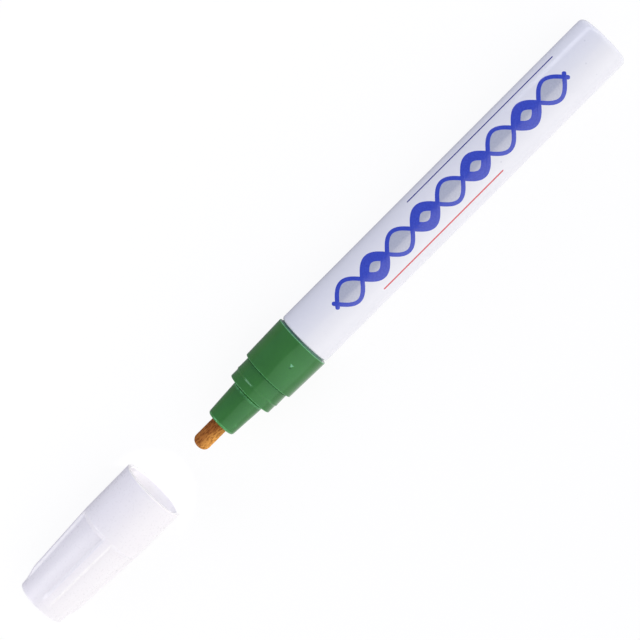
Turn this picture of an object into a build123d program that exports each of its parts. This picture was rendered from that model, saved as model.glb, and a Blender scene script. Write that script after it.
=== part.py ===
"""Valve-action paint marker: aluminium barrel, snap collar, bullet nib, spring valve, mixing ball and pull-off cap.

The marker lies along X with its nib towards -X. Stations along the axis are measured in millimetres from the
barrel's front lip, and place() then sets the whole marker on the table with the origin at its bottom centre.
"""

import os
from math import pi, sqrt

from build123d import *

# Barrel: a drawn aluminium can with a curled front lip and a rounded closed end.
barrel_od = 14.5
barrel_length = 99.0
barrel_wall = 0.45
barrel_end_wall = 0.6
barrel_curl_radius = 1.2
barrel_end_radius = 2.0

# Collar: ring, snap land for the cap, and a tail that the curled lip holds in the barrel.
collar_gap = 0.8
ring_length = 11.3
ring_proud = 0.2
ring_taper = 0.6
ring_edge = 0.15
snap_length = 6.0
snap_step = 1.08
snap_relief = 0.3
snap_edge = 0.2
bead_height = 0.12
bead_width = 0.6
bead_setback = 2.65
lip_hold = 0.25
neck_land = 0.15
tail_length = 9.0
feed_gap = 0.55

# Gasket in a groove of the tail.
gasket_width = 1.6
gasket_depth = 0.8
gasket_setback = 2.2

# Nib holder: a tapered snout on a spigot that is pushed into the collar.
snout_length = 9.2
snout_wall = 2.25
snout_taper = 1.2
snout_gap = 0.9
snout_step = 0.4
snout_front_edge = 0.7
snout_rear_edge = 0.35
spigot_length = 5.0
flute_count = 4
flute_width = 0.8
flute_depth = 0.4

# Nib: a bonded fibre rod with a bullet tip.
nib_od = 4.4
nib_length = 22.0
nib_protrusion = 7.6
nib_tip_radius = 1.75

# Valve: body with a flat seat, stem with a seal washer, coil spring and slotted cage.
stem_od = 1.8
pusher_relief = 0.2
pusher_length = 1.2
seat_flow = 0.6
seat_land = 0.8
seat_wall = 1.5
seat_setback = 4.5
head_gap = 0.5
head_length = 1.2
seal_length = 1.0
stem_tail_length = 4.0
valve_wall = 1.0
valve_front_wall = 1.6
valve_body_length = 12.0
valve_spigot_wall = 0.6
valve_spigot_length = 3.0
spring_wire = 0.4
spring_gap = 0.4
spring_length = 11.0
spring_turns = 7
cage_wall = 0.8
cage_end_wall = 0.8
cage_port = 1.6
window_count = 4
window_width = 2.2
window_margin = 1.0

# Mixing ball that rolls in the paint.
ball_diameter = 6.0
ball_end_gap = 0.3

# Cap: a mouth that covers the ring, a narrower tapered crown with four ribs, and an inner sealing sleeve.
cap_wall = 0.95
cap_crown_wall = 0.65
cap_end_wall = 1.2
cap_mouth_draft = 0.1
cap_step_length = 1.1
cap_end_edge = 0.7
cap_rim_edge = 0.2
rib_count = 4
rib_width = 2.3
rib_height = 0.85
rib_setback = 1.8
rib_ramp = 3.4
rib_turn = 7.0
sleeve_wall = 1.0
sleeve_end_wall = 0.8
sleeve_taper = 2.2
nib_room = 1.6
cap_off = 49.8

# Clearances between pieces.
fit_gap = 0.03
slide_gap = 0.05
cap_gap = 0.1
sleeve_gap = 0.15
sleeve_room = 0.3
seal_gap = 0.02
ball_gap = 0.1

# Diameters that follow from what each piece fits.
barrel_bore = barrel_od - 2 * barrel_wall
tail_od = barrel_bore - 2 * slide_gap
lip_bore = tail_od - 2 * lip_hold
lip_neck_od = lip_bore - 2 * slide_gap
seat_neck_od = lip_bore + 2 * neck_land
ring_rear_od = barrel_od + 2 * ring_proud
ring_front_od = ring_rear_od - ring_taper
snap_rear_od = ring_rear_od - 2 * snap_step
snap_front_od = snap_rear_od - snap_relief
bead_od = snap_rear_od + 2 * bead_height
groove_od = tail_od - 2 * gasket_depth
nib_bore = nib_od + 2 * slide_gap
snout_rear_od = nib_bore + 2 * snout_wall
snout_front_od = snout_rear_od - snout_taper
spigot_od = snout_rear_od - 2 * snout_step
pusher_od = nib_od - 2 * pusher_relief
collar_bore = nib_bore + 2 * feed_gap
seat_hole = stem_od + 2 * seat_flow
head_od = seat_hole + 2 * seat_land
chamber_bore = head_od + 2 * head_gap
valve_body_od = chamber_bore + 2 * valve_wall
valve_front_bore = valve_body_od - 2 * valve_front_wall
valve_spigot_od = chamber_bore + 2 * valve_spigot_wall
spring_od = head_od - 2 * spring_gap
cage_bore = valve_spigot_od + 2 * fit_gap
cage_od = cage_bore + 2 * cage_wall
sleeve_bore = snout_rear_od + 2 * sleeve_gap
sleeve_end_bore = sleeve_bore - sleeve_taper
sleeve_od = sleeve_bore + 2 * sleeve_wall
cap_mouth_bore = ring_rear_od + 2 * cap_gap
cap_mouth_od = cap_mouth_bore + 2 * cap_wall
cap_step_od = cap_mouth_od - 2 * cap_mouth_draft
crown_bore = max(bead_od + 2 * cap_gap, sleeve_od + 2 * sleeve_room)
crown_od = crown_bore + 2 * cap_crown_wall
crown_end_bore = sleeve_od + 2 * fit_gap
crown_end_od = crown_end_bore + 2 * cap_crown_wall

# Stations along the axis, from the barrel's front lip.
ring_rear_x = -collar_gap
ring_front_x = ring_rear_x - ring_length
snap_front_x = ring_front_x - snap_length
bead_x = snap_front_x + bead_setback
snout_rear_x = snap_front_x - snout_gap
snout_front_x = snout_rear_x - snout_length
spigot_rear_x = snap_front_x + spigot_length
nib_tip_x = snout_front_x - nib_protrusion
nib_rear_x = nib_tip_x + nib_length
tail_front_x = barrel_curl_radius + slide_gap
tail_rear_x = tail_length
gasket_x = tail_rear_x - gasket_setback - gasket_width
valve_front_x = tail_rear_x - valve_body_length
valve_rear_x = tail_rear_x + valve_spigot_length
seat_x = tail_rear_x - seat_setback
seal_front_x = seat_x + seal_gap
head_front_x = seal_front_x + seal_length
head_rear_x = head_front_x + head_length
cage_end_x = head_rear_x + spring_length
cage_rear_x = cage_end_x + cage_end_wall
ball_x = barrel_length - barrel_end_wall - ball_end_gap - ball_diameter / 2
cap_seated_rim_x = ring_rear_x
cap_rim_x = cap_seated_rim_x - cap_off
cap_mouth_depth = cap_seated_rim_x - bead_x
cap_length = cap_seated_rim_x - nib_tip_x + nib_room + sleeve_end_wall + cap_end_wall
cap_end_x = cap_rim_x - cap_length
sleeve_rim_x = snap_front_x - cap_gap - cap_off
sleeve_end_x = cap_end_x + cap_end_wall

# Where the marker lies: the cap's rim touches the table and the origin is under the middle of the length.
axis_height = cap_mouth_od / 2
middle_x = (cap_end_x + barrel_length) / 2


def turned(start_x, end_x, start_d, end_d=None):
    """A round solid about the X axis between two stations, straight or tapered."""
    length = end_x - start_x
    station = Plane(origin=(start_x, 0, 0), z_dir=(1, 0, 0))
    from_base = (Align.CENTER, Align.CENTER, Align.MIN)
    if end_d is None or abs(end_d - start_d) < 1e-9:
        return station * Cylinder(start_d / 2, length, align=from_base)
    return station * Cone(start_d / 2, end_d / 2, length, align=from_base)


def round_edge(part, x, diameter, radius):
    """Rounds the circular edge of that diameter at station x."""
    edges = []
    for edge in part.edges().filter_by(GeomType.CIRCLE):
        if abs(edge.arc_center.X - x) < 1e-4 and abs(edge.radius - diameter / 2) < 1e-4:
            edges.append(edge)
    return fillet(edges, radius)


def around(count, piece, first_angle=0.0):
    """Copies of a piece, evenly spaced about the X axis."""
    return [Rot(X=first_angle + 360 / count * index) * piece for index in range(count)]


def barrel():
    """Drawn can: the outer form, less the inner form and the mouth inside the curled lip."""
    outer = turned(0, barrel_length, barrel_od)
    outer = round_edge(outer, 0, barrel_od, barrel_curl_radius)
    outer = round_edge(outer, barrel_length, barrel_od, barrel_end_radius)
    inner_end = barrel_length - barrel_end_wall
    inner = turned(barrel_wall, inner_end, barrel_bore)
    inner = round_edge(inner, barrel_wall, barrel_bore, barrel_curl_radius - barrel_wall)
    inner = round_edge(inner, inner_end, barrel_bore, barrel_end_radius - barrel_wall)
    mouth = turned(0, barrel_curl_radius, lip_bore)
    return outer - inner - mouth


def front_collar():
    """Ring, snap land with its bead, neck through the lip, and tail with a gasket groove."""
    ring = turned(ring_front_x, ring_rear_x, ring_front_od, ring_rear_od)
    ring = round_edge(ring, ring_front_x, ring_front_od, ring_edge)
    ring = round_edge(ring, ring_rear_x, ring_rear_od, ring_edge)
    land = turned(snap_front_x, ring_front_x, snap_front_od)
    land = round_edge(land, snap_front_x, snap_front_od, snap_edge)
    land += turned(bead_x, ring_front_x, snap_rear_od)
    land += turned(bead_x - bead_width / 2, bead_x, snap_front_od, bead_od)
    land += turned(bead_x, bead_x + bead_width / 2, bead_od, snap_rear_od)
    neck = turned(ring_rear_x, 0, seat_neck_od) + turned(0, tail_front_x, lip_neck_od)
    tail = turned(tail_front_x, tail_rear_x, tail_od)
    groove = turned(gasket_x, gasket_x + gasket_width, tail_od) - turned(gasket_x, gasket_x + gasket_width, groove_od)
    body = ring + land + neck + tail - groove
    body -= turned(snap_front_x, spigot_rear_x, spigot_od + 2 * fit_gap)
    body -= turned(snap_front_x, tail_rear_x, collar_bore)
    body -= turned(valve_front_x, tail_rear_x, valve_body_od + 2 * fit_gap)
    return body


def collar_gasket():
    """Flat ring in the tail's groove that seals against the barrel's bore."""
    start = gasket_x + seal_gap
    end = gasket_x + gasket_width - seal_gap
    return turned(start, end, barrel_bore - 2 * seal_gap) - turned(start, end, groove_od + 2 * seal_gap)


def nib_holder():
    """Tapered snout and spigot, bored for the nib with flutes that carry the paint."""
    snout = turned(snout_front_x, snout_rear_x, snout_front_od, snout_rear_od)
    snout = round_edge(snout, snout_front_x, snout_front_od, snout_front_edge)
    snout = round_edge(snout, snout_rear_x, snout_rear_od, snout_rear_edge)
    body = snout + turned(snout_rear_x, spigot_rear_x, spigot_od)
    body -= turned(snout_front_x, spigot_rear_x, nib_bore)
    flute_rise = nib_bore / 2 + flute_depth
    flute_start = snout_front_x + nib_od / 2
    flute_length = spigot_rear_x - flute_start
    flute = Pos(flute_start, 0, 0) * Box(
        flute_length, flute_width, flute_rise, align=(Align.MIN, Align.CENTER, Align.MIN)
    )
    return body - around(flute_count, flute)


def nib():
    """Fibre rod with a rounded writing tip."""
    rod = turned(nib_tip_x, nib_rear_x, nib_od)
    return round_edge(rod, nib_tip_x, nib_od, nib_tip_radius)


def valve_body():
    """Housing with a flat seat, a front passage round the stem and a rear chamber for the poppet."""
    body = turned(valve_front_x, tail_rear_x, valve_body_od)
    body += turned(tail_rear_x, valve_rear_x, valve_spigot_od)
    body -= turned(valve_front_x, seat_x - seat_wall, valve_front_bore)
    body -= turned(seat_x - seat_wall, seat_x, seat_hole)
    body -= turned(seat_x, valve_rear_x, chamber_bore)
    return body


def valve_stem():
    """Pusher behind the nib, shaft through the seat, poppet head and the tail that guides the spring."""
    pusher_rear = nib_rear_x + pusher_length
    stem = turned(nib_rear_x, pusher_rear, pusher_od)
    stem += turned(pusher_rear, head_front_x, stem_od)
    stem += turned(head_front_x, head_rear_x, head_od)
    stem += turned(head_rear_x, head_rear_x + stem_tail_length, stem_od)
    return stem


def valve_seal():
    """Washer on the shaft that the head presses against the seat."""
    washer = turned(seal_front_x, head_front_x, head_od)
    return washer - turned(seal_front_x, head_front_x, stem_od + 2 * seal_gap)


def valve_spring():
    """Coil spring between the poppet head and the cage's end wall."""
    first_x = head_rear_x + spring_wire / 2 + seal_gap
    last_x = cage_end_x - spring_wire / 2 - seal_gap
    mean_radius = (spring_od - spring_wire) / 2
    pitch = (last_x - first_x) / spring_turns
    coil = Helix(pitch, last_x - first_x, mean_radius)
    section = Plane(origin=coil @ 0, z_dir=coil % 0) * Circle(spring_wire / 2)
    wire = sweep(section, path=coil, is_frenet=True)
    print("spring: gap between turns", round(pitch - spring_wire, 3), "mm")
    wire_length = spring_turns * sqrt((2 * pi * mean_radius) ** 2 + pitch**2)
    wire_volume = pi * (spring_wire / 2) ** 2 * wire_length
    print("spring: volume over wire section times length", round(wire.volume / wire_volume, 4))
    return Plane(origin=(first_x, 0, 0), z_dir=(1, 0, 0)) * wire


def spring_cage():
    """Slotted cup on the valve body that backs the spring and lets the paint in."""
    cup = turned(tail_rear_x, cage_rear_x, cage_od) - turned(tail_rear_x, valve_rear_x, cage_bore)
    cup -= turned(valve_rear_x, cage_end_x, chamber_bore)
    cup -= turned(cage_end_x, cage_rear_x, cage_port)
    window_length = cage_end_x - valve_rear_x - 2 * window_margin
    window = Pos(valve_rear_x + window_margin, 0, 0) * Box(
        window_length, window_width, cage_od, align=(Align.MIN, Align.CENTER, Align.MIN)
    )
    return cup - around(window_count, window)


def mixing_ball():
    """Steel ball at the bottom of the barrel's bore, rolled to the closed end."""
    drop = (barrel_bore - ball_diameter) / 2 - ball_gap
    return Pos(ball_x, 0, -drop) * Sphere(ball_diameter / 2)


def cap_ribs(step_end_x):
    """Ribs on the crown, flush with the mouth at the step, that ramp down to the crown near its closed end."""
    foot_x = cap_end_x + rib_setback
    full_x = foot_x + rib_ramp
    top_x = step_end_x + cap_step_length
    crown_slope = (crown_od - crown_end_od) / (step_end_x - cap_end_x)
    foot_od = crown_end_od + crown_slope * rib_setback
    full_od = crown_end_od + crown_slope * (rib_setback + rib_ramp) + 2 * rib_height
    envelope = turned(foot_x, full_x, foot_od, full_od) + turned(full_x, top_x, full_od, cap_step_od)
    blade = Pos(foot_x, 0, 0) * Box(
        top_x - foot_x, rib_width, cap_step_od, align=(Align.MIN, Align.CENTER, Align.MIN)
    )
    return around(rib_count, blade & envelope, rib_turn)


def cap_shell():
    """Cap with a wide mouth, a sloped step, a tapered ribbed crown and a closed end."""
    step_start_x = cap_rim_x - cap_mouth_depth
    step_end_x = step_start_x - cap_step_length
    crown = turned(cap_end_x, step_end_x, crown_end_od, crown_od)
    crown = round_edge(crown, cap_end_x, crown_end_od, cap_end_edge)
    shell = crown + turned(step_end_x, step_start_x, crown_od, cap_step_od)
    shell += turned(step_start_x, cap_rim_x, cap_step_od, cap_mouth_od)
    shell += cap_ribs(step_end_x)
    shell -= turned(sleeve_end_x, step_start_x, crown_end_bore, crown_bore)
    shell -= turned(step_start_x, cap_rim_x, cap_mouth_bore)
    shell = round_edge(shell, cap_rim_x, cap_mouth_od, cap_rim_edge)
    return round_edge(shell, cap_rim_x, cap_mouth_bore, cap_rim_edge)


def cap_inner_sleeve():
    """Inner cup that closes round the snout and keeps the nib wet."""
    cup = turned(sleeve_end_x, sleeve_rim_x, sleeve_od)
    cup -= turned(sleeve_end_x + sleeve_end_wall, sleeve_rim_x, sleeve_end_bore, sleeve_bore)
    return cup


def place(piece):
    """Sets a piece on the table, with the origin under the middle of the marker and its cap."""
    return Pos(-middle_x, 0, axis_height) * piece


PIECES = [
    barrel,
    front_collar,
    collar_gasket,
    nib_holder,
    nib,
    valve_body,
    valve_stem,
    valve_seal,
    valve_spring,
    spring_cage,
    mixing_ball,
    cap_shell,
    cap_inner_sleeve,
]

os.makedirs("parts", exist_ok=True)
for make in PIECES:
    export_step(place(make()), f"parts/{make.__name__}.step")
print("axis height", round(axis_height, 4), "origin to lip", round(-middle_x, 4))
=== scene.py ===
import math

import bmesh
import bpy
import numpy as np
from mathutils import Matrix, Vector


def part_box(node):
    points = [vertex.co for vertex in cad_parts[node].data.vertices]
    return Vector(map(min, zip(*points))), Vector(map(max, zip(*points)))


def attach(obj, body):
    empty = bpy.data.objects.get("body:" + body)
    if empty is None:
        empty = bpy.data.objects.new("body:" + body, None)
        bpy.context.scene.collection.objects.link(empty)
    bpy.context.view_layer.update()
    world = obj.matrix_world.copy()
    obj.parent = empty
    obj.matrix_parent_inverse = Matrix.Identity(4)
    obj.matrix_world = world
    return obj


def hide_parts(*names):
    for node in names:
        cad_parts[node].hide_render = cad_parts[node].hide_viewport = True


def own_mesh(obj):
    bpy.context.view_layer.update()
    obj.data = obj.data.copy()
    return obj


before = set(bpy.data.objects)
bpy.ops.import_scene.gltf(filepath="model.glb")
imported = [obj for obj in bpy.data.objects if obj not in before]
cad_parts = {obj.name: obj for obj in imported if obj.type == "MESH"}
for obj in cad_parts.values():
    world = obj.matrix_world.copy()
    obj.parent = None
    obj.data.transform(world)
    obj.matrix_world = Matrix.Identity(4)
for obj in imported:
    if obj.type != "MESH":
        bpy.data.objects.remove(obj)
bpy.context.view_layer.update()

# Sizes of pieces are in millimetres; stations run from the barrel's front lip, negative towards the nib
mm = 0.001
barrelLength = 99.0
barrelLow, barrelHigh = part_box("barrel")
lipX = barrelHigh.x - barrelLength * mm
axisZ = (barrelLow.z + barrelHigh.z) / 2
chance = np.random.default_rng(7)


# sRGB hex code to the linear values that the shader sockets take
def linear(code):
    s = np.array([int(code[i:i + 2], 16) for i in (1, 3, 5)]) / 255
    return (*np.where(s <= 0.04045, s / 12.92, ((s + 0.055) / 1.055) ** 2.4), 1.0)


# One node: its type, its inputs as values or as other nodes' outputs, and its settings.
# A Mix of colours has its share at input 0, its colours at 6 and 7 and its result at output 2.
def node(tree, kind, inputs=None, **settings):
    made = tree.nodes.new(kind)
    for key, value in settings.items():
        setattr(made, key, value)
    for key, value in (inputs or {}).items():
        if isinstance(value, bpy.types.NodeSocket):
            tree.links.new(value, made.inputs[key])
        else:
            made.inputs[key].default_value = value
    return made


# New material with its tree and its shader; an underscore stands for the space in a socket's name
def finish(name, **values):
    made = bpy.data.materials.new(name)
    made.use_nodes = True
    shader = made.node_tree.nodes["Principled BSDF"]
    for key, value in values.items():
        shader.inputs[key.replace("_", " ")].default_value = value
    return made, made.node_tree, shader


# Smooth rise: 0 below low, 1 above high, 3t^2 - 2t^3 between
def rise(low, high, value):
    t = np.clip((value - low) / (high - low), 0, 1)
    return t * t * (3 - 2 * t)


# Bell: exp(-(distance / reach)^2), which is 1 at the place
def bell(value, place, reach):
    return np.exp(-((value - place) / reach) ** 2)


# Profile through corners (x, r, radius). A corner with a radius becomes an arc tangent to both of its runs,
# point(a) = corner + inward * radius * (1 / cos half - cos a) + along * radius * sin a, a from -half to half.
# Runs are cut into steps of at most `step`, with a close row beside each arc.
# The third array is 1 on the arcs and 0 on the runs.
def roundLine(corners, step=0.6, arcSteps=6, beside=0.05):
    knots = [np.array(corner[:2], float) for corner in corners]
    line, mark = [knots[0][None]], [np.zeros(1)]
    start = knots[0]
    for i in range(1, len(knots)):
        here = knots[i]
        radius = corners[i][2] if len(corners[i]) > 2 else 0
        arc = here[None]
        if radius and i + 1 < len(knots):
            into = (here - knots[i - 1]) / np.linalg.norm(here - knots[i - 1])
            out = (knots[i + 1] - here) / np.linalg.norm(knots[i + 1] - here)
            half = math.acos(np.clip(into @ out, -1, 1)) / 2
            inward = (out - into) / np.linalg.norm(out - into)
            along = (out + into) / np.linalg.norm(out + into)
            a = np.linspace(-half, half, arcSteps + 1)[:, None]
            arc = here + inward * (radius / math.cos(half) - radius * np.cos(a)) + radius * np.sin(a) * along
        length = np.linalg.norm(arc[0] - start)
        t = np.linspace(0, 1, max(math.ceil(length / step), 1) + 1)[1:-1]
        if length > 5 * beside:
            t = np.sort(np.append(t, [beside / length, 1 - beside / length]))
        line += [start + t[:, None] * (arc[0] - start), arc]
        mark += [np.zeros(len(t)), np.full(len(arc), 1.0 if radius else 0.0)]
        start = arc[-1]
    line = np.concatenate(line)
    return line[:, 0], line[:, 1], np.concatenate(mark)


# Turned surface: point(u, a) = (x(u), r(u, a) * sin a, axis + r(u, a) * cos a), a from the top towards +Y
def turned(x, r, a):
    x, r, a = np.broadcast_arrays(np.asarray(x), np.asarray(r), np.asarray(a))
    return np.stack([lipX + x * mm, r * np.sin(a) * mm, axisZ + r * np.cos(a) * mm], axis=-1)


# Even angles round the axis, with extra ones close together about one place
def spread(count, place=0.0, reach=0.0, extra=0):
    a = np.linspace(-math.pi, math.pi, count, endpoint=False)
    if extra:
        a = np.concatenate([a[np.abs(a - place) > reach], np.linspace(place - reach, place + reach, extra)])
    return np.sort(a)[None]


# Grid of points to a mesh: one quad between neighbouring rows and columns; the last column joins the first
def addPiece(name, grid, material, body, edge=None, sharp=38):
    rows, cols = grid.shape[:2]
    index = np.arange(rows * cols).reshape(rows, cols)
    above, beside = np.roll(index, -1, axis=0), np.roll(index, -1, axis=1)
    quads = np.stack([index, beside, np.roll(above, -1, axis=1), above], axis=-1)[:-1].reshape(-1, 4)
    mesh = bpy.data.meshes.new(name)
    mesh.vertices.add(rows * cols)
    mesh.vertices.foreach_set("co", grid.reshape(-1).astype(np.float32))
    mesh.loops.add(quads.size)
    mesh.loops.foreach_set("vertex_index", quads.reshape(-1).astype(np.int32))
    mesh.polygons.add(len(quads))
    mesh.polygons.foreach_set("loop_start", np.arange(0, quads.size, 4, dtype=np.int32))
    mesh.update(calc_edges=True)
    if edge is not None:
        marksAndPaintedLight = np.broadcast_to(edge, (rows, cols)).reshape(-1).astype(np.float32)
        mesh.attributes.new("edge", "FLOAT", "POINT").data.foreach_set("value", marksAndPaintedLight)
    work = bmesh.new()
    work.from_mesh(mesh)
    bmesh.ops.remove_doubles(work, verts=work.verts, dist=1e-7)  # closes the poles and the seams
    bmesh.ops.recalc_face_normals(work, faces=work.faces)
    work.to_mesh(mesh)
    work.free()
    mesh.set_sharp_from_angle(angle=math.radians(sharp))
    mesh.materials.append(material)
    piece = bpy.data.objects.new(name, mesh)
    bpy.context.scene.collection.objects.link(piece)
    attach(piece, body)
    print("piece", name, len(mesh.polygons), "faces")
    return piece


# Enamel, sprayed and baked on drawn aluminium: an even white with a cool cast, a soft orange peel of 1.3 mm
# in the gloss, and a few grey specks of dust under it
enamel, tree, shader = finish("enamelOnDrawnAluminium", IOR=1.52)
place = node(tree, "ShaderNodeTexCoord").outputs["Object"]
cloud = node(tree, "ShaderNodeTexNoise", {"Vector": place, "Scale": 1 / (9 * mm), "Detail": 3.0})
tint = node(tree, "ShaderNodeMix", {0: cloud.outputs["Fac"], 6: linear("#E1E2E9"), 7: linear("#E8E8EE")},
            data_type="RGBA")
greyMark = node(tree, "ShaderNodeTexVoronoi", {"Vector": place, "Scale": 1 / (4.5 * mm), "Randomness": 1.0})
speck = node(tree, "ShaderNodeMapRange", {"Value": greyMark.outputs["Distance"], "From Min": 0.035,
                                          "From Max": 0.06, "To Min": 0.22, "To Max": 0.0})
spotted = node(tree, "ShaderNodeMix", {0: speck.outputs["Result"], 6: tint.outputs[2], 7: linear("#9C9DB0")},
               data_type="RGBA")
tree.links.new(spotted.outputs[2], shader.inputs["Base Color"])
smear = node(tree, "ShaderNodeTexNoise", {"Vector": place, "Scale": 1 / (5 * mm), "Detail": 4.0})
gloss = node(tree, "ShaderNodeMapRange", {"Value": smear.outputs["Fac"], "From Min": 0.3, "From Max": 0.7,
                                          "To Min": 0.13, "To Max": 0.24})
tree.links.new(gloss.outputs["Result"], shader.inputs["Roughness"])
peel = node(tree, "ShaderNodeTexNoise", {"Vector": place, "Scale": 1 / (1.3 * mm), "Detail": 1.0})
bump = node(tree, "ShaderNodeBump", {"Height": peel.outputs["Fac"], "Strength": 1.0, "Distance": 0.006 * mm})
tree.links.new(bump.outputs["Normal"], shader.inputs["Normal"])

# Polypropylene, dyed green and moulded in a polished tool: glossy, with flow marks in the colour and a
# slight ripple in the reflections. The edge attribute paints light and shade into it: up to 1 it makes edges
# and the bead's scuffs paler, mostly painted highlight, and past 1.5 it adds a paler cyan green, a stronger
# painted highlight; below 0 it paints shade in dark green, and below -1.5 the shade in the gap behind the
# ring is greyed.
green, tree, shader = finish("mouldedGreenPolypropylene", IOR=1.5, Specular_IOR_Level=0.6,
                             Specular_Tint=linear("#BFFFEA"))
place = node(tree, "ShaderNodeTexCoord").outputs["Object"]
flow = node(tree, "ShaderNodeTexNoise", {"Vector": place, "Scale": 1 / (6 * mm), "Detail": 4.0,
                                         "Distortion": 0.6})
tint = node(tree, "ShaderNodeMix", {0: flow.outputs["Fac"], 6: linear("#2E6227"), 7: linear("#3A7631")},
            data_type="RGBA")
marksAndPaintedLight = node(tree, "ShaderNodeAttribute", attribute_name="edge")
grit = node(tree, "ShaderNodeTexNoise", {"Vector": place, "Scale": 1 / (0.7 * mm), "Detail": 2.0})
paleShare = node(tree, "ShaderNodeMapRange", {"Value": grit.outputs["Fac"], "From Min": 0.3, "From Max": 0.65,
                                        "To Min": 0.1, "To Max": 0.5})
pale = node(tree, "ShaderNodeMath", {0: marksAndPaintedLight.outputs["Fac"], 1: paleShare.outputs["Result"]}, operation="MULTIPLY")
edged = node(tree, "ShaderNodeMix", {0: pale.outputs[0], 6: tint.outputs[2], 7: linear("#62B86C")},
             data_type="RGBA")
# Painted highlight: past 1.5 a paler cyan green, on the gate stub and the ring's back edge
strongHighlight = node(tree, "ShaderNodeMapRange", {"Value": marksAndPaintedLight.outputs["Fac"], "From Min": 1.5, "From Max": 2.6})
strongHighlighted = node(tree, "ShaderNodeMix", {0: strongHighlight.outputs["Result"], 6: edged.outputs[2], 7: linear("#78B090")},
               data_type="RGBA")
# Painted shade: dark green below 0 in the gate pit and the gap behind the ring, greyed below -1.5 in the gap
paintedShade = node(tree, "ShaderNodeMapRange", {"Value": marksAndPaintedLight.outputs["Fac"], "From Min": 0.0, "From Max": -1.0})
withPaintedShade = node(tree, "ShaderNodeMix", {0: paintedShade.outputs["Result"], 6: strongHighlighted.outputs[2], 7: linear("#24482C")},
             data_type="RGBA")
greyMark = node(tree, "ShaderNodeMapRange", {"Value": marksAndPaintedLight.outputs["Fac"], "From Min": -1.5, "From Max": -2.5})
withGapShade = node(tree, "ShaderNodeMix", {0: greyMark.outputs["Result"], 6: withPaintedShade.outputs[2], 7: linear("#66897A")},
             data_type="RGBA")
tree.links.new(withGapShade.outputs[2], shader.inputs["Base Color"])
gloss = node(tree, "ShaderNodeMapRange", {"Value": flow.outputs["Fac"], "From Min": 0.3, "From Max": 0.7,
                                          "To Min": 0.11, "To Max": 0.2})
tree.links.new(gloss.outputs["Result"], shader.inputs["Roughness"])
ripple = node(tree, "ShaderNodeTexNoise", {"Vector": place, "Scale": 1 / (2.6 * mm), "Detail": 1.0})
bump = node(tree, "ShaderNodeBump", {"Height": ripple.outputs["Fac"], "Strength": 1.0, "Distance": 0.02 * mm})
tree.links.new(bump.outputs["Normal"], shader.inputs["Normal"])

# Polypropylene, white and moulded, a little translucent: a milky lavender white, satin, with faint flow
# lines along it, and paler where the edge attribute marks it: painted highlight on the rim, the outer edges
# and the ribs' sides
white, tree, shader = finish("mouldedWhitePolypropylene", IOR=1.49, Subsurface_Weight=0.2,
                             Subsurface_Radius=(1.0, 0.97, 1.0), Subsurface_Scale=1.0 * mm)
place = node(tree, "ShaderNodeTexCoord").outputs["Object"]
drawn = node(tree, "ShaderNodeMapping", {"Vector": place,
                                         "Scale": (1 / (14 * mm), 1 / (2.5 * mm), 1 / (2.5 * mm))})
flow = node(tree, "ShaderNodeTexNoise", {"Vector": drawn.outputs[0], "Scale": 1.0, "Detail": 3.0})
tint = node(tree, "ShaderNodeMix", {0: flow.outputs["Fac"], 6: linear("#EBE8EC"), 7: linear("#EFEDF0")},
            data_type="RGBA")
marksAndPaintedLight = node(tree, "ShaderNodeAttribute", attribute_name="edge")
# Painted highlight: paler where the edge attribute is up to 1
edged = node(tree, "ShaderNodeMix", {0: marksAndPaintedLight.outputs["Fac"], 6: tint.outputs[2], 7: linear("#F8F5F6")},
             data_type="RGBA")
tree.links.new(edged.outputs[2], shader.inputs["Base Color"])
grain = node(tree, "ShaderNodeTexNoise", {"Vector": place, "Scale": 1 / (0.5 * mm), "Detail": 2.0})
satin = node(tree, "ShaderNodeMapRange", {"Value": grain.outputs["Fac"], "From Min": 0.3, "From Max": 0.7,
                                          "To Min": 0.26, "To Max": 0.33})
tree.links.new(satin.outputs["Result"], shader.inputs["Roughness"])
bump = node(tree, "ShaderNodeBump", {"Height": grain.outputs["Fac"], "Strength": 1.0, "Distance": 0.001 * mm})
tree.links.new(bump.outputs["Normal"], shader.inputs["Normal"])

# Polyester fibre, bonded into a rod and ground to a tip, soaked and dried: tan, browner in the holder and
# browner on its +Y side, which is painted shade, dull, with dark pores drawn out along it
felt, tree, shader = finish("bondedPolyesterFibre", Roughness=0.8, IOR=1.45, Specular_IOR_Level=0.15)
place = node(tree, "ShaderNodeTexCoord").outputs["Object"]
lay = node(tree, "ShaderNodeMapping", {"Vector": place,
                                       "Scale": (1 / (0.9 * mm), 1 / (0.36 * mm), 1 / (0.36 * mm))})
pores = node(tree, "ShaderNodeTexNoise", {"Vector": lay.outputs[0], "Scale": 1.0, "Detail": 2.0,
                                          "Roughness": 0.55})
along = node(tree, "ShaderNodeSeparateXYZ", {"Vector": place})
wet = node(tree, "ShaderNodeMapRange", {"Value": along.outputs["X"], "From Min": lipX - 31.5 * mm,
                                        "From Max": lipX - 28.2 * mm, "To Min": 0.0, "To Max": 0.4})
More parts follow.
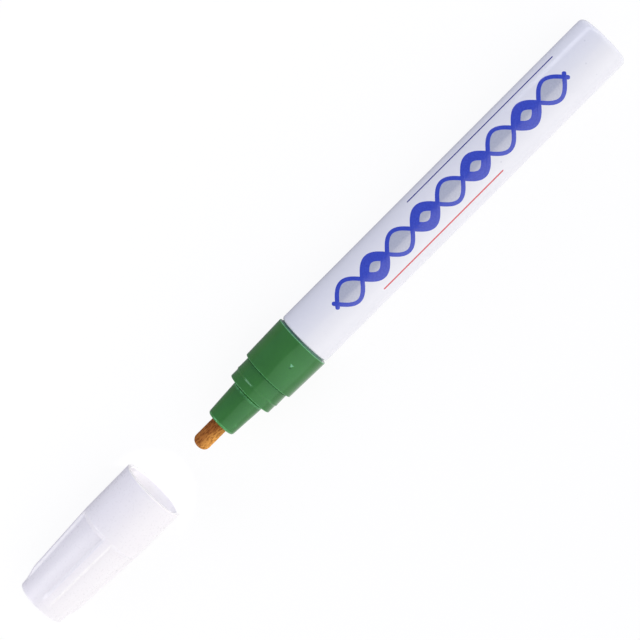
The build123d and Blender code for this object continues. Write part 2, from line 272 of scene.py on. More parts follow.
# Painted shade: browner towards +Y, the side away from the key light
shadeTowardsY = node(tree, "ShaderNodeMapRange", {"Value": along.outputs["Y"], "From Min": -2.2 * mm,
                                         "From Max": 0.4 * mm, "To Min": 0.0, "To Max": 0.9})
soakedAndShaded = node(tree, "ShaderNodeMath", {0: wet.outputs["Result"], 1: shadeTowardsY.outputs["Result"]}, operation="ADD")
stainAndShade = node(tree, "ShaderNodeMix", {0: soakedAndShaded.outputs[0], 6: linear("#F2AF58"), 7: linear("#9E5E2A")},
             data_type="RGBA")
depth = node(tree, "ShaderNodeMapRange", {"Value": pores.outputs["Fac"], "From Min": 0.38, "From Max": 0.55,
                                          "To Min": 0.9, "To Max": 0.0})
tint = node(tree, "ShaderNodeMix", {0: depth.outputs["Result"], 6: stainAndShade.outputs[2], 7: linear("#B3A295")},
            data_type="RGBA", blend_type="MULTIPLY")
tree.links.new(tint.outputs[2], shader.inputs["Base Color"])
bump = node(tree, "ShaderNodeBump", {"Height": pores.outputs["Fac"], "Strength": 1.0, "Distance": 0.06 * mm})
tree.links.new(bump.outputs["Normal"], shader.inputs["Normal"])

# Polypropylene, undyed and moulded: a cloudy off-white with a dull skin
natural, tree, shader = finish("mouldedNaturalPolypropylene", Roughness=0.4, IOR=1.49)
place = node(tree, "ShaderNodeTexCoord").outputs["Object"]
cloud = node(tree, "ShaderNodeTexNoise", {"Vector": place, "Scale": 1 / (3 * mm), "Detail": 3.0})
tint = node(tree, "ShaderNodeMix", {0: cloud.outputs["Fac"], 6: linear("#E2E1D9"), 7: linear("#EFEEE8")},
            data_type="RGBA")
tree.links.new(tint.outputs[2], shader.inputs["Base Color"])
bump = node(tree, "ShaderNodeBump", {"Height": cloud.outputs["Fac"], "Strength": 1.0, "Distance": 0.01 * mm})
tree.links.new(bump.outputs["Normal"], shader.inputs["Normal"])

# Nitrile rubber, pressed: near black, with a fine bloom of grey
rubber, tree, shader = finish("pressedNitrileRubber", Roughness=0.7, IOR=1.52)
place = node(tree, "ShaderNodeTexCoord").outputs["Object"]
bloom = node(tree, "ShaderNodeTexNoise", {"Vector": place, "Scale": 1 / (0.4 * mm), "Detail": 4.0})
tint = node(tree, "ShaderNodeMix", {0: bloom.outputs["Fac"], 6: linear("#1B1B1D"), 7: linear("#333437")},
            data_type="RGBA")
tree.links.new(tint.outputs[2], shader.inputs["Base Color"])
bump = node(tree, "ShaderNodeBump", {"Height": bloom.outputs["Fac"], "Strength": 1.0, "Distance": 0.01 * mm})
tree.links.new(bump.outputs["Normal"], shader.inputs["Normal"])

# Stainless spring wire, drawn: a grey metal with fine drawing lines
wire, tree, shader = finish("drawnStainlessWire", Metallic=1.0)
place = node(tree, "ShaderNodeTexCoord").outputs["Object"]
lines = node(tree, "ShaderNodeTexNoise", {"Vector": place, "Scale": 1 / (0.15 * mm), "Detail": 3.0})
tint = node(tree, "ShaderNodeMix", {0: lines.outputs["Fac"], 6: linear("#A9A9AC"), 7: linear("#CBCBCE")},
            data_type="RGBA")
tree.links.new(tint.outputs[2], shader.inputs["Base Color"])
gloss = node(tree, "ShaderNodeMapRange", {"Value": lines.outputs["Fac"], "To Min": 0.22, "To Max": 0.42})
tree.links.new(gloss.outputs["Result"], shader.inputs["Roughness"])

# Bearing steel, ground and polished: a bright metal with a faint film of paint thinner
ballSteel, tree, shader = finish("polishedBearingSteel", Metallic=1.0)
place = node(tree, "ShaderNodeTexCoord").outputs["Object"]
film = node(tree, "ShaderNodeTexNoise", {"Vector": place, "Scale": 1 / (2 * mm), "Detail": 3.0})
tint = node(tree, "ShaderNodeMix", {0: film.outputs["Fac"], 6: linear("#BDBEC2"), 7: linear("#DADBDE")},
            data_type="RGBA")
tree.links.new(tint.outputs[2], shader.inputs["Base Color"])
gloss = node(tree, "ShaderNodeMapRange", {"Value": film.outputs["Fac"], "To Min": 0.06, "To Max": 0.2})
tree.links.new(gloss.outputs["Result"], shader.inputs["Roughness"])


# Screen ink, printed and baked: a dense film that levels out glossy, with a mesh grain of 0.35 mm in its tone
def screenInk(name, dark, light, metallic=0.0, level=0.8):
    made, tree, shader = finish(name, Metallic=metallic, IOR=1.52, Specular_IOR_Level=level)
    place = node(tree, "ShaderNodeTexCoord").outputs["Object"]
    grain = node(tree, "ShaderNodeTexNoise", {"Vector": place, "Scale": 1 / (0.35 * mm), "Detail": 2.0})
    tone = node(tree, "ShaderNodeMapRange", {"Value": grain.outputs["Fac"], "From Min": 0.3, "From Max": 0.7})
    tint = node(tree, "ShaderNodeMix", {0: tone.outputs["Result"], 6: linear(dark), 7: linear(light)},
                data_type="RGBA")
    tree.links.new(tint.outputs[2], shader.inputs["Base Color"])
    gloss = node(tree, "ShaderNodeMapRange", {"Value": grain.outputs["Fac"], "To Min": 0.14, "To Max": 0.26})
    tree.links.new(gloss.outputs["Result"], shader.inputs["Roughness"])
    return made


blueInk = screenInk("screenInkRoyalBlue", "#2338B4", "#2E46C2")
navyInk = screenInk("screenInkNavy", "#161C7E", "#20298E")
redInk = screenInk("screenInkRed", "#C42C3A", "#D23C48")
silverInk = screenInk("screenInkSilver", "#B7BACA", "#C3C6D4", metallic=0.3, level=0.6)
print("materials done")

# Barrel: drawn can with a rounded closed end and a curled front lip, which is a quarter circle,
# point(t) = (curl - q cos t, middle + q sin t), where q is the radius of the curl or of its hem inside
can = {"radius": 7.25, "wall": 0.45, "endWall": 0.6, "curl": 0.62, "endRound": 1.4, "around": 176}
inner = can["radius"] - can["wall"]
middle = can["radius"] - can["curl"]
hem = can["curl"] - can["wall"]
floorX = barrelLength - can["endWall"]
innerRound = can["endRound"] - can["wall"]
insideX, insideR = roundLine([(floorX, 0), (floorX, inner, innerRound), (can["curl"], inner)], step=4)[:2]
t = np.linspace(math.pi / 2, 0, 7)[1:]
hemX = can["curl"] - hem * np.cos(t)
hemR = middle + hem * np.sin(t)
t = np.linspace(0, math.pi / 2, 11)[:-1]
curlX = can["curl"] - can["curl"] * np.cos(t)
curlR = middle + can["curl"] * np.sin(t)
outsideX, outsideR = roundLine([(can["curl"], can["radius"]), (barrelLength, can["radius"], can["endRound"]),
                                (barrelLength, 0)], step=1.2, arcSteps=12)[:2]
x = np.concatenate([insideX, hemX, curlX, outsideX])[:, None]
r = np.concatenate([insideR, hemR, curlR, outsideR])[:, None]
barrel = addPiece("barrelCan", turned(x, r, spread(can["around"])), enamel, "marker")
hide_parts("barrel")

# Print on the barrel: a two-strand braid with filled eyes, and two thin rules (from, to, place on the girth)
braid = {"start": 12.0, "eye": 8.2, "eyes": 9, "reach": 3.1, "strand": 1.2, "tail": 0.9, "turn": 3.0,
         "core": 0.44, "thick": 0.03, "over": 0.008, "eyeThick": 0.012, "coreThick": 0.02, "rows": 420,
         "crowd": 0.08}
rules = {"red": (22.0, 61.0, -5.7), "navy": (40.0, 87.5, 6.1), "width": 0.5, "thick": 0.02}
ink = {"sunk": 0.02, "shoulder": 10}


# Film of ink: point(x, g, h) = turned surface of radius R + h at the angle turn + g / R, with g along the
# girth. The columns run across the top, h = thick * (1 - |v|^n) - sunk * |v|^n, and back underneath at
# -sunk, and the end rows lie flat, so that the film closes.
def inkFilm(name, x, girth, thick, material):
    side = np.abs(np.linspace(-1, 1, x.shape[1])) ** ink["shoulder"]
    high = np.broadcast_to(thick, x.shape) * (1 - side) - ink["sunk"] * side
    high = np.concatenate([high, np.full_like(high[:, 1:-1], -ink["sunk"])], axis=1)
    high[[0, -1]] = -ink["sunk"]
    x = np.concatenate([x, x[:, -2:0:-1]], axis=1)
    girth = np.concatenate([girth, girth[:, -2:0:-1]], axis=1)
    grid = turned(x, can["radius"] + high, math.radians(braid["turn"]) + girth / can["radius"])
    return addPiece(name, grid, material, "marker", sharp=80)


# Strand: the line g = side * reach * sin(k x), widened at right angles to itself, higher where it crosses
# over, with round ends and rows that crowd towards them
def strand(name, side, material):
    k = math.pi / braid["eye"]
    end = braid["eye"] * braid["eyes"] + braid["tail"]
    t = np.linspace(0, 1, braid["rows"])[:, None]
    x = (end + braid["tail"]) * (t - braid["crowd"] * np.sin(2 * math.pi * t)) - braid["tail"]
    slope = side * braid["reach"] * k * np.cos(k * x)
    long = np.sqrt(1 + slope ** 2)
    near = np.clip(np.minimum(x + braid["tail"], end - x) * long / braid["strand"] * 2, 0, 1)
    v = np.linspace(-1, 1, 9)[None] * braid["strand"] / 2 * np.sqrt(1 - (1 - near) ** 2)
    girth = side * braid["reach"] * np.sin(k * x) + v / long
    thick = braid["thick"] + braid["over"] * side * np.cos(k * x)
    return inkFilm(name, braid["start"] + x - v * slope / long, girth, thick, material)


# Eyes: |g| <= share * reach * sin(pi u) between two crossings, u from 0 to 1, joined end to end in one film
def eyes(name, first, material, thick, share=1.0):
    u = np.linspace(0, 1, 33)[:, None]
    v = np.linspace(-1, 1, 15)[None]
    middles = (np.arange(first, braid["eyes"], 2) + 0.5) * braid["eye"] + braid["start"]
    x = np.concatenate([middle + share * (u - 0.5) * braid["eye"] + 0 * v for middle in middles])
    girth = np.tile(v * share * braid["reach"] * np.sin(math.pi * u), (len(middles), 1))
    return inkFilm(name, x, girth, thick, material)


# Rule: a straight band whose ends are half circles, (half - half cos t, half sin t)
def rule(name, span, material):
    low, high, girth = span
    half = rules["width"] / 2
    t = np.linspace(0, math.pi / 2, 9)
    straight = np.linspace(low + 1, high - 1, 40)
    x = np.concatenate([low + half - half * np.cos(t), straight, high - half + half * np.cos(t[::-1])])
    wide = np.concatenate([half * np.sin(t), np.full(len(straight), half), half * np.sin(t[::-1])])
    v = np.linspace(-1, 1, 7)[None]
    return inkFilm(name, x[:, None] + 0 * v, girth + wide[:, None] * v, rules["thick"], material)


eyes("printEyesSilver", 0, silverInk, braid["eyeThick"])
eyes("printEyesBlue", 1, blueInk, braid["eyeThick"])
eyes("printCoresSilver", 1, silverInk, braid["coreThick"], share=braid["core"])
strand("printStrandUpper", 1, blueInk)
strand("printStrandLower", -1, blueInk)
rule("printRuleRed", rules["red"], redInk)
rule("printRuleNavy", rules["navy"], navyInk)
print("barrel and print done")

# Front collar: tapered ring, snap land with its bead, neck in the lip and tail in the barrel
collar = {"ringFront": (-12.1, 7.15), "ringBack": (-0.45, 7.45), "ringEdge": 0.16, "land": (-18.25, 6.22),
          "landBack": 6.37, "bead": (-15.6, 6.46), "beadHalf": 0.45, "groove": (0.3, 0.24, 0.2), "bore": 2.8,
          "socket": (-13.1, 4.13), "shoulder": 6.72, "neck": (-0.03, 1.25, 6.46), "tail": (9.0, 6.75),
          "gasketSeat": (5.2, 6.8, 5.95), "tailBore": (-3.0, 3.83), "seam": -8.0, "around": 200}
gate = {"x": -5.8, "turn": -18.3, "girthR": 7.3, "inside": 0.3, "height": 0.1, "pit": (-0.56, -0.05),
        "pitSize": (0.25, 0.28), "pitDeep": 0.12, "sink": 0.2, "sinkReach": 3.2, "sinkAside": 1.2,
        "close": 0.9, "closeTurn": 0.13}
frontX, frontR = collar["ringFront"]
backX, backR = collar["ringBack"]
landX, landR = collar["land"]
beadX, beadR = collar["bead"]
landBack, beadHalf, bore = collar["landBack"], collar["beadHalf"], collar["bore"]
grooveTop, grooveFoot, grooveDeep = collar["groove"]
socketX, socketR = collar["socket"]
neckFront, neckBack, neckR = collar["neck"]
seatFront, seatBack, seatR = collar["gasketSeat"]
tailX, tailR = collar["tail"]
tailBoreX, tailBoreR = collar["tailBore"]


# Radius of the ring, a straight taper
def ringR(x):
    return frontR + (backR - frontR) * (x - frontX) / (backX - frontX)


x, r, mark = roundLine([
    (collar["seam"], bore), (socketX, bore), (socketX, socketR), (landX, socketR, 0.12), (landX, landR, 0.22),
    (beadX - beadHalf, landR, 0.3), (beadX, beadR, 0.35), (beadX + beadHalf, landBack, 0.3),
    (frontX - grooveTop, landBack, 0.05), (frontX - grooveFoot, landBack - grooveDeep, 0.04),
    (frontX, landBack - grooveDeep, 0.04), (frontX, frontR, collar["ringEdge"]),
    (gate["x"] - 1, ringR(gate["x"] - 1)), (backX, backR, collar["ringEdge"]),
    (backX, collar["shoulder"], 0.1), (neckFront, collar["shoulder"]), (neckFront, neckR), (neckBack, neckR),
    (neckBack, tailR, 0.2), (seatFront, tailR), (seatFront, seatR), (seatBack, seatR), (seatBack, tailR),
    (tailX, tailR, 0.25), (tailX, tailBoreR, 0.15), (tailBoreX, tailBoreR), (tailBoreX, bore),
    (collar["seam"], bore)], step=0.35)
ringMin, landMin = 7.0, 6.0  # only the outside of the ring and of the land has more than these radii
gateTurn = math.radians(gate["turn"])
a = spread(collar["around"], gateTurn, gate["closeTurn"], 26)
close = np.linspace(gate["x"] - gate["close"], gate["x"] + gate["close"], 22)  # rows across the gate mark
onRing = (x > frontX + 0.3) & (x < backX - 0.3) & (r > ringMin)
keep = ~(onRing & (np.abs(x - gate["x"]) < gate["close"]))
first = np.nonzero(~keep)[0][0]
x = np.insert(x[keep], first, close)[:, None]
r = np.insert(r[keep], first, ringR(close))[:, None]
mark = np.insert(mark[keep], first, np.zeros(len(close)))[:, None]
outside = (x > frontX + 0.25) & (x < backX - 0.25) & (r > ringMin)

# Gate mark on the ring: a pit, a sink and a three-sided stub,
# max(u, -u/2 + v sin 60, -u/2 - v sin 60) < inside
ahead = x - gate["x"]
across = (a - gateTurn) * gate["girthR"]
slopes = np.maximum(-0.5 * ahead + 0.866 * across, -0.5 * ahead - 0.866 * across)
inset = gate["inside"] - np.maximum(ahead, slopes)
pip = gate["height"] * rise(-0.12, 0.2, inset)
pit = bell(ahead, gate["pit"][0], gate["pitSize"][0]) * bell(across, gate["pit"][1], gate["pitSize"][1])
sink = gate["sink"] * bell(np.hypot(ahead, across + gate["sinkAside"]), 0, gate["sinkReach"])
sink = sink + 0.012 * np.sin(1.1 * x + 2 * np.sin(2 * a)) * np.cos(3 * a)
inward = (gate["pitDeep"] * pit - pip + sink) * rise(0.25, 1.2, x - frontX) * rise(0.25, 1.2, backX - x)
onBead = bell(x, beadX, beadHalf) * (r > landMin)
wobble = 0.035 * onBead * np.sin(9 * a + 3 * np.sin(2 * a)) * bell(a, 0.45, 0.35)
skin = r - np.where(outside, inward, 0) + wobble

# Marks of the collar, most of them painted light: paler edges, the ring's back edge most of all, and a pale
# gate stub, painted highlight; a dark gate pit and a darkened, greyed gap behind the ring, painted shade;
# pale scuffs on the bead where the cap rubs, which also stand in for glints, and a pale line on its lit side,
# painted highlight
inGap = (x > backX - 0.01) & (x < 0.3) & (r > landMin) & (r < 7.2)
marksAndPaintedLight = np.where(r > landMin, mark * (np.abs(x - beadX) > 0.6), 0) * ~inGap - 2.35 * inGap
marksAndPaintedLight = marksAndPaintedLight + outside * (2.6 * rise(-0.14, 0.14, inset) - 1.1 * pit)
marksAndPaintedLight = marksAndPaintedLight + mark * (np.abs(x - backX) < collar["ringEdge"] + 0.01) * (r > ringMin)
scuffAndGlint = rise(-0.2, 0.9, np.sin(19 * a + 2 * np.sin(5 * a) + 3 * x)) * bell(a, 0.32, 0.33)
marksAndPaintedLight = marksAndPaintedLight + onBead ** 3 * (0.38 * scuffAndGlint + 0.6 * bell(a, -0.8, 0.12))
frontCollar = addPiece("frontCollar", turned(x, skin, a), green, "marker", edge=marksAndPaintedLight)
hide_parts("front_collar")

# Nib holder: tapered snout on a spigot, with four flutes in its bore and two small flaws (station, length,
# angle, width)
snout = {"front": (-28.2, 3.9), "frontEdge": 0.7, "back": (-18.36, 4.5), "backEdge": 0.5,
         "spigot": (-13.1, 4.1), "bore": 2.25, "fluteStart": -26.0, "fluteDeep": 0.4, "fluteHalf": 0.4,
         "flaws": ((-25.7, 0.4, -0.81, 0.075), (-26.9, 0.2, -0.88, 0.045)), "flawHigh": 0.03, "around": 160}
frontX, frontR = snout["front"]
backX, backR = snout["back"]
spigotX, spigotR = snout["spigot"]
bore, fluteStart, fluteHalf = snout["bore"], snout["fluteStart"], snout["fluteHalf"]
x, r, mark = roundLine([
    (spigotX, bore), (fluteStart + 0.01, bore), (fluteStart - 0.01, bore), (frontX, bore, 0.12),
    (frontX, frontR, snout["frontEdge"]), (backX, backR, snout["backEdge"]), (backX, spigotR, 0.1),
    (spigotX, spigotR, 0.2), (spigotX, bore)], step=0.5, arcSteps=9)
a = spread(snout["around"])
x, r, mark = x[:, None], r[:, None], mark[:, None]
inBore = (np.abs(r - bore) < 0.01) & (x > fluteStart)
fold = (a + math.pi / 4) % (math.pi / 2) - math.pi / 4  # the same quarter four times
flute = 1 - rise(fluteHalf - 0.08, fluteHalf + 0.08, np.abs(np.sin(fold)) * bore)
outside = r > 3.6
flaw = sum(bell(x, s, long) * bell(a, turn, wide) for s, long, turn, wide in snout["flaws"]) * outside
soft = 0.008 * np.sin(0.9 * x + 1.7 * np.sin(a)) * np.cos(2 * a + 0.6) * outside + snout["flawHigh"] * flaw
skin = r + np.where(inBore, snout["fluteDeep"] * flute, 0) + soft
snoutBackHighlight = 2.0 * bell(x, backX - 0.45, 0.16) * (r > 4.2)  # a pale line beside the groove: painted highlight on the snout's rounded back edge
# Painted highlight on the snout's front edge; the two flaws are paler too
marksAndPaintedLight = mark * (r > 2.6) * (x < -25) + 1.1 * flaw + snoutBackHighlight
nibHolder = addPiece("nibHolder", turned(x, skin, a), green, "marker", edge=marksAndPaintedLight)
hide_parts("nib_holder")
print("collar and holder done")

# Nib: fibre rod with a bullet tip, ((L - d) / L)^n + (r / R)^n = 1 at a depth d below L, and shallow pores
# along it, the sum of slanted waves sin(n a + w x + p)
rod = {"tip": -35.8, "back": -13.8, "radius": 2.2, "dome": 1.9, "power": 2.25, "fineEnd": -27.0,
       "inside": -20.0, "pore": 0.05, "waves": 26, "around": 132}
dome = rod["dome"] * np.linspace(0, 1, 30) ** 2
domeR = rod["radius"] * (1 - ((rod["dome"] - dome) / rod["dome"]) ** rod["power"]) ** (1 / rod["power"])
straight = np.linspace(rod["tip"] + rod["dome"] + 0.12, rod["fineEnd"], 60)
x = np.concatenate([rod["tip"] + dome, straight, [rod["inside"], rod["back"], rod["back"]]])[:, None]
r = np.concatenate([domeR, np.full(len(straight) + 2, rod["radius"]), [0]])[:, None]
a = spread(rod["around"])
counts = chance.integers(9, 34, rod["waves"])
slants = chance.uniform(-3.2, 3.2, rod["waves"])
phases = chance.uniform(0, 6.3, rod["waves"])
rough = sum(np.sin(n * a + w * x + p) for n, w, p in zip(counts, slants, phases)) / math.sqrt(rod["waves"])
cut = rod["pore"] * np.clip(0.5 + 0.5 * rough, 0, 1.4) * np.clip(r / rod["radius"], 0, 1) ** 2
grid = turned(x, np.maximum(r - cut, 0), a)
fibreNib = addPiece("fibreNib", grid, felt, "nib_train", sharp=70)
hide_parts("nib")

# Cap shell: wide mouth, sloped step, tapered crown with four ribs, closed end with a gate dimple
cap = {"rim": -50.6, "step": -65.25, "stepFoot": -66.35, "end": -89.2, "rimR": 8.5, "stepR": 8.4,
       "crownR": 7.62, "endR": 6.44, "endEdge": 0.4, "bore": 7.55, "crownBore": 6.59, "endBore": 5.68,
       "endWall": 1.2, "rimEdge": 0.2, "dimple": (0.12, 0.8, 1.0), "ribs": 4, "ribWide": 2.3, "ribTurn": -7.0,
       "ribFoot": 1.8, "ribRamp": 3.4, "ribTop": 7.387}
innerEnd = cap["end"] + cap["endWall"]
dimpleDeep, dimpleFoot, dimpleRim = cap["dimple"]
footR = cap["endR"] + (cap["crownR"] - cap["endR"]) * cap["ribFoot"] / (cap["stepFoot"] - cap["end"])
x, r, mark = roundLine([
    (cap["end"] + dimpleDeep, 0), (cap["end"] + dimpleDeep, dimpleFoot, 0.08), (cap["end"], dimpleRim, 0.1),
    (cap["end"], cap["endR"], cap["endEdge"]), (cap["end"] + cap["ribFoot"], footR),
    (cap["stepFoot"], cap["crownR"], 0.25), (cap["step"], cap["stepR"], 0.3),
    (cap["rim"], cap["rimR"], cap["rimEdge"]), (cap["rim"], cap["bore"], cap["rimEdge"]),
    (cap["step"], cap["bore"], 0.15), (cap["step"], cap["crownBore"], 0.1), (innerEnd, cap["endBore"], 0.3),
    (innerEnd, 0)], step=0.45, arcSteps=8)
outer = np.arange(len(x)) < np.argmax(x >= cap["rim"] - 1e-6)
full = cap["end"] + cap["ribFoot"] + cap["ribRamp"]
top = np.interp(x, [full - cap["ribRamp"], full, cap["step"]], [footR, cap["ribTop"], cap["stepR"]])
onCrown = outer & (x > cap["end"] + cap["ribFoot"]) & (x < cap["step"])
rib = np.where(onCrown, np.clip(top - r, 0, None), 0)

# Columns of one quarter, from the middle of a rib to the next: close ones at the ribs' sides, which stay
# parallel, so that their angle follows the radius, and even ones between
offset = np.array([-1.15, -0.8, -0.5, -0.4, -0.3, -0.2, -0.1, 0.0, 0.1, 0.2, 0.3, 0.4, 0.5, 0.7])
height = 1 - rise(-0.45, 0.45, offset)  # sides with draft
half = np.arcsin((cap["ribWide"] / 2 + offset[None]) / np.clip(r, 5.0, None)[:, None])
gap = np.linspace(0, 1, 18)[1:-1][None]
between = half[:, -1:] + (math.pi / 2 - 2 * half[:, -1:]) * gap
quarter = np.concatenate([half, between, math.pi / 2 - half[:, :0:-1]], axis=1)
lift = np.concatenate([height, np.zeros(gap.size), height[:0:-1]])
turns = math.radians(cap["ribTurn"]) + np.arange(cap["ribs"]) * math.pi / 2
a = np.concatenate([quarter + turn for turn in turns], axis=1)
lift = np.tile(lift, cap["ribs"])[None]
x, r, rib = x[:, None], r[:, None], rib[:, None]
side = 4 * lift * (1 - lift) * rise(0.1, 0.5, rib)
side = side * (0.1 + 0.9 * rise(-0.2, 0.0, np.sin(a)))  # the ribs' sides are painted paler towards +Y, their shaded side: painted light
# Painted highlight: the outer arcs a little paler, and the rim face and the ribs' sides paler
edges = 0.15 * (mark * outer)[:, None]
rimFace = x > cap["rim"] - cap["rimEdge"] - 0.01
capShell = addPiece("capShell", turned(x, r + rib * lift, a), white, "cap",
                    edge=np.maximum(np.maximum(edges, side), rimFace))
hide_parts("cap_shell")

# Inner sleeve of the cap: a cup that closes round the snout
sleeve = {"rim": -68.14, "end": -88.0, "outer": 5.65, "bore": 4.65, "endBore": 3.55, "endWall": 0.8,
          "around": 128}
cupEnd = sleeve["end"] + sleeve["endWall"]
x, r = roundLine([
    (sleeve["end"], 0), (sleeve["end"], sleeve["outer"], 0.2), (sleeve["rim"], sleeve["outer"], 0.25),
    (sleeve["rim"], sleeve["bore"], 0.35), (cupEnd, sleeve["endBore"], 0.5), (cupEnd, 0)], step=0.8)[:2]
grid = turned(x[:, None], r[:, None], spread(sleeve["around"]))
capSleeve = addPiece("capSleeve", grid, natural, "cap")
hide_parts("cap_inner_sleeve")
print("nib and cap done")

# Valve spring: a round wire carried along a helix and narrowed at its two ends,
# point(t, b) = helix(t) + wire * (cos b * outward + sin b * across)
coil = {"start": 6.94, "end": 17.5, "turns": 7, "mean": 1.7, "wire": 0.2, "tip": [0.02, 0.7],
        "backStop": 17.72, "pressed": 9.0, "free": 11.0}
t = np.linspace(0, 2 * math.pi * coil["turns"], 40 * coil["turns"])[:, None]
b = np.linspace(0, 2 * math.pi, 14, endpoint=False)[None]
lead = (coil["end"] - coil["start"]) / (2 * math.pi * coil["turns"])  # advance for each radian
long = math.hypot(coil["mean"], lead)
wide = np.array(coil["tip"] + [1] * (len(t) - 4) + coil["tip"][::-1])[:, None] * coil["wire"]
out, cross = wide * np.cos(b), wide * np.sin(b)
x = coil["start"] + lead * t + cross * coil["mean"] / long
y = (coil["mean"] + out) * np.sin(t) - cross * lead / long * np.cos(t)
z = (coil["mean"] + out) * np.cos(t) + cross * lead / long * np.sin(t)
grid = np.stack([lipX + x * mm, y * mm, axisZ + z * mm], axis=-1)
spring = addPiece("valveSpring", grid, wire, "marker", sharp=80)
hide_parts("valve_spring")
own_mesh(spring)

# Pieces inside the marker that keep their CAD shape
kept = {"collar_gasket": rubber, "valve_seal": rubber, "valve_body": natural, "valve_stem": natural,
        "spring_cage": natural, "mixing_ball": ballSteel}
for name, material in kept.items():
    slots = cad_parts[name].data.materials
    if len(slots):
        slots[0] = material
    else:
        slots.append(material)
print("valve and inner pieces done")

# Floor: a white table, tilted under half a degree so that the cap's rim and the barrel's end both touch it.
# Its size and its drop are in metres.
table = {"size": 3.0, "drop": 0.00002, "pale": "#EEEEF0", "paintedShadeSide": "#9A9A9C", "shade": "#5A5A5C", "glow": 0.9,
         "turnover": 12.0, "mirrored": (0.9, 0.06), "endFade": (1.0, 9.0)}
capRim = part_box("cap_shell")[1].x
lean = (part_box("barrel")[0].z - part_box("cap_shell")[0].z) / (barrelHigh.x - can["endRound"] * mm - capRim)
u, v = np.meshgrid(np.linspace(-1, 1, 3), np.linspace(-1, 1, 3), indexing="ij")
high = (u * table["size"] - capRim) * lean - table["drop"]
corner = np.stack([u * table["size"], v * table["size"], high], axis=-1)
index = np.arange(9).reshape(3, 3)
faces = np.stack([index[:-1, :-1], index[1:, :-1], index[1:, 1:], index[:-1, 1:]], axis=-1).reshape(-1, 4)
floorMesh = bpy.data.meshes.new("tableTop")
floorMesh.from_pydata(corner.reshape(-1, 3).tolist(), [], faces.tolist())

# Paper, matt and white: the camera sees it glow, with only a faint shadow. Bounced light sees it plain, and
# darker on the +Y side, which is painted shade, and reflections see a share of the glow, which drops on that
# side as far as the closed end, also painted shade.
paper = bpy.data.materials.new("matWhitePaper")
paper.use_nodes = True
tree = paper.node_tree
tree.nodes.clear()
path = node(tree, "ShaderNodeLightPath")
place = node(tree, "ShaderNodeSeparateXYZ", {"Vector": node(tree, "ShaderNodeTexCoord").outputs["Object"]})
paintedShadeSide = node(tree, "ShaderNodeMapRange", {"Value": place.outputs["Y"], "From Min": -table["turnover"] * mm,
                                        "From Max": table["turnover"] * mm}, interpolation_type="SMOOTHSTEP")
beside = node(tree, "ShaderNodeMapRange", {"Value": place.outputs["X"],
                                           "From Min": barrelHigh.x + table["endFade"][0] * mm,
                                           "From Max": barrelHigh.x + table["endFade"][1] * mm,
                                           "To Min": 1.0, "To Max": 0.0})
dull = node(tree, "ShaderNodeMath", {0: paintedShadeSide.outputs["Result"], 1: beside.outputs["Result"]},
            operation="MULTIPLY")
share = node(tree, "ShaderNodeMapRange", {"Value": dull.outputs[0], "To Min": table["mirrored"][0],
                                          "To Max": table["mirrored"][1]})
mirrored = node(tree, "ShaderNodeMath", {0: path.outputs["Is Glossy Ray"], 1: share.outputs["Result"]},
                operation="MULTIPLY")
direct = node(tree, "ShaderNodeMath", {0: path.outputs["Is Camera Ray"], 1: mirrored.outputs[0]},
              operation="MAXIMUM")
seen = node(tree, "ShaderNodeMath", {0: direct.outputs[0], 1: path.outputs["Is Transmission Ray"]},
            operation="MAXIMUM")
tone = node(tree, "ShaderNodeMix", {0: paintedShadeSide.outputs["Result"], 6: linear(table["pale"]),
                                    7: linear(table["paintedShadeSide"])}, data_type="RGBA")
plain = node(tree, "ShaderNodeBsdfDiffuse", {"Color": tone.outputs[2]})
shadow = node(tree, "ShaderNodeBsdfDiffuse", {"Color": linear(table["shade"])})
glow = node(tree, "ShaderNodeEmission", {"Color": linear("#FFFFFF"), "Strength": table["glow"]})
bright = node(tree, "ShaderNodeAddShader", {0: shadow.outputs[0], 1: glow.outputs[0]})
both = node(tree, "ShaderNodeMixShader", {0: seen.outputs[0], 1: plain.outputs[0], 2: bright.outputs[0]})
node(tree, "ShaderNodeOutputMaterial", {"Surface": both.outputs[0]})
floorMesh.materials.append(paper)
floor = bpy.data.objects.new("tableTop", floorMesh)
bpy.context.scene.collection.objects.link(floor)

# Light: a large soft light over the -Y side with its edge beside the camera, a round one low behind the
# closed end, and a dim cool fill
light = {"key": (0.965, 1.555), "keyColour": "#FFFDFB", "fillColour": "#A2A9C0", "edge": (0.015, -0.035),
         "endLevel": 2.1, "endReach": (0.84, 0.95)}
world = bpy.data.worlds.new("studio")
world.use_nodes = True
tree = world.node_tree
tree.nodes.clear()
towards = node(tree, "ShaderNodeTexCoord").outputs["Generated"]
axes = node(tree, "ShaderNodeSeparateXYZ", {"Vector": towards})
keySide = node(tree, "ShaderNodeMapRange", {"Value": axes.outputs["Y"], "From Min": light["edge"][0],
                                            "From Max": light["edge"][1]}, interpolation_type="SMOOTHSTEP")
endSide = node(tree, "ShaderNodeMapRange", {"Value": axes.outputs["X"], "From Min": light["endReach"][0],
                                            "From Max": light["endReach"][1]},
               interpolation_type="SMOOTHSTEP")
level = node(tree, "ShaderNodeMapRange", {"Value": axes.outputs["Y"], "From Min": 0.0, "From Max": -1.0,
                                          "To Min": light["key"][0], "To Max": light["key"][1]})
key = node(tree, "ShaderNodeBackground", {"Color": linear(light["keyColour"]),
                                          "Strength": level.outputs["Result"]})
fill = node(tree, "ShaderNodeBackground", {"Color": linear(light["fillColour"]), "Strength": 1.0})
endLight = node(tree, "ShaderNodeBackground", {"Color": linear(light["keyColour"]),
                                               "Strength": light["endLevel"]})
sides = node(tree, "ShaderNodeMixShader", {0: keySide.outputs["Result"], 1: fill.outputs[0],
                                           2: key.outputs[0]})
sky = node(tree, "ShaderNodeMixShader", {0: endSide.outputs["Result"], 1: sides.outputs[0],
                                         2: endLight.outputs[0]})
node(tree, "ShaderNodeOutputWorld", {"Surface": sky.outputs[0]})
bpy.context.scene.world = world

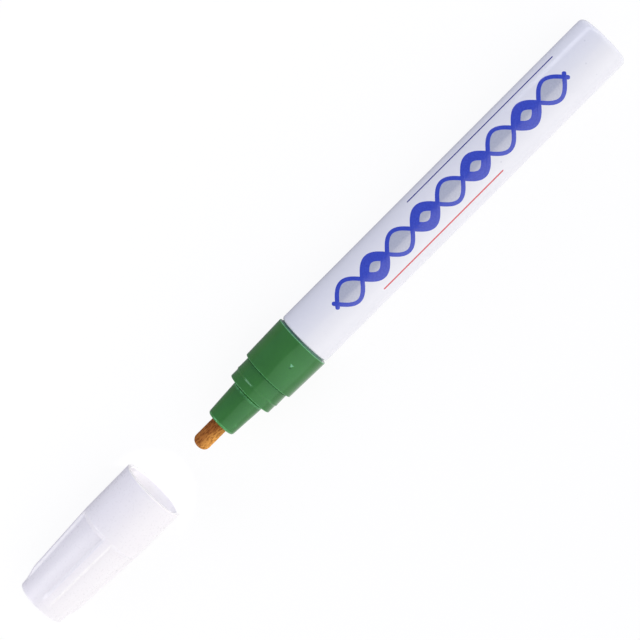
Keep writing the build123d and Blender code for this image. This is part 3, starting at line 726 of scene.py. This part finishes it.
# Lamps, in metres: two soft panels on the +Y side, and a small one in front of the cap's mouth, for the
# light that comes through the thin wall
lamps = {
    "rearPanel": {"kind": "AREA", "place": (0.19, 0.16, 0.066), "aim": (0.08, 0.0, 0.0085), "watts": 0.17,
                  "colour": "#F4F3F8", "form": {"shape": "RECTANGLE", "size": 0.25, "size_y": 0.07}},
    "capPanel": {"kind": "AREA", "place": (-0.23, 0.15, 0.12), "aim": (-0.072, 0.0, 0.0085), "watts": 0.26,
                 "colour": "#FFF9F6", "form": {"shape": "RECTANGLE", "size": 0.18, "size_y": 0.16}},
    "mouthSpot": {"kind": "SPOT", "place": (-0.043, 0.0, 0.026), "aim": (-0.0575, 0.0, 0.001),
                  "watts": 0.0158, "colour": "#FFFFFF",
                  "form": {"spot_size": 0.73, "spot_blend": 0.12, "shadow_soft_size": 0.001}}}
for name, lamp in lamps.items():
    lampData = bpy.data.lights.new(name, lamp["kind"])
    lampData.energy = lamp["watts"]
    lampData.color = linear(lamp["colour"])[:3]
    for field, value in lamp["form"].items():
        setattr(lampData, field, value)
    turn = (Vector(lamp["place"]) - Vector(lamp["aim"])).to_track_quat("Z", "Y").to_matrix().to_4x4()
    lampObject = bpy.data.objects.new(name, lampData)
    lampObject.matrix_world = Matrix.Translation(lamp["place"]) @ turn
    lampObject.visible_camera = False
    bpy.context.scene.collection.objects.link(lampObject)
bpy.context.scene.view_settings.view_transform = "Standard"

# Camera, in metres: above the marker, a little towards its closed end, rolled so that the marker runs from
# lower left to upper right
view = {"place": (0.041814, 0.000627, 0.526078), "right": (0.70459, -0.70744, -0.05548),
        "up": (0.70526, 0.70677, -0.05554), "back": (0.0785, 0.0, 0.99691), "lens": 124.03, "sensor": 36.0,
        "nearest": 0.01}
optics = bpy.data.cameras.new("camera")
optics.lens = view["lens"]
optics.sensor_width = view["sensor"]
optics.clip_start = view["nearest"]
camera = bpy.data.objects.new("camera", optics)
turn = Matrix((view["right"], view["up"], view["back"])).transposed().to_4x4()
camera.matrix_world = Matrix.Translation(view["place"]) @ turn
bpy.context.scene.collection.objects.link(camera)
bpy.context.scene.camera = camera
print("floor, light and camera done")
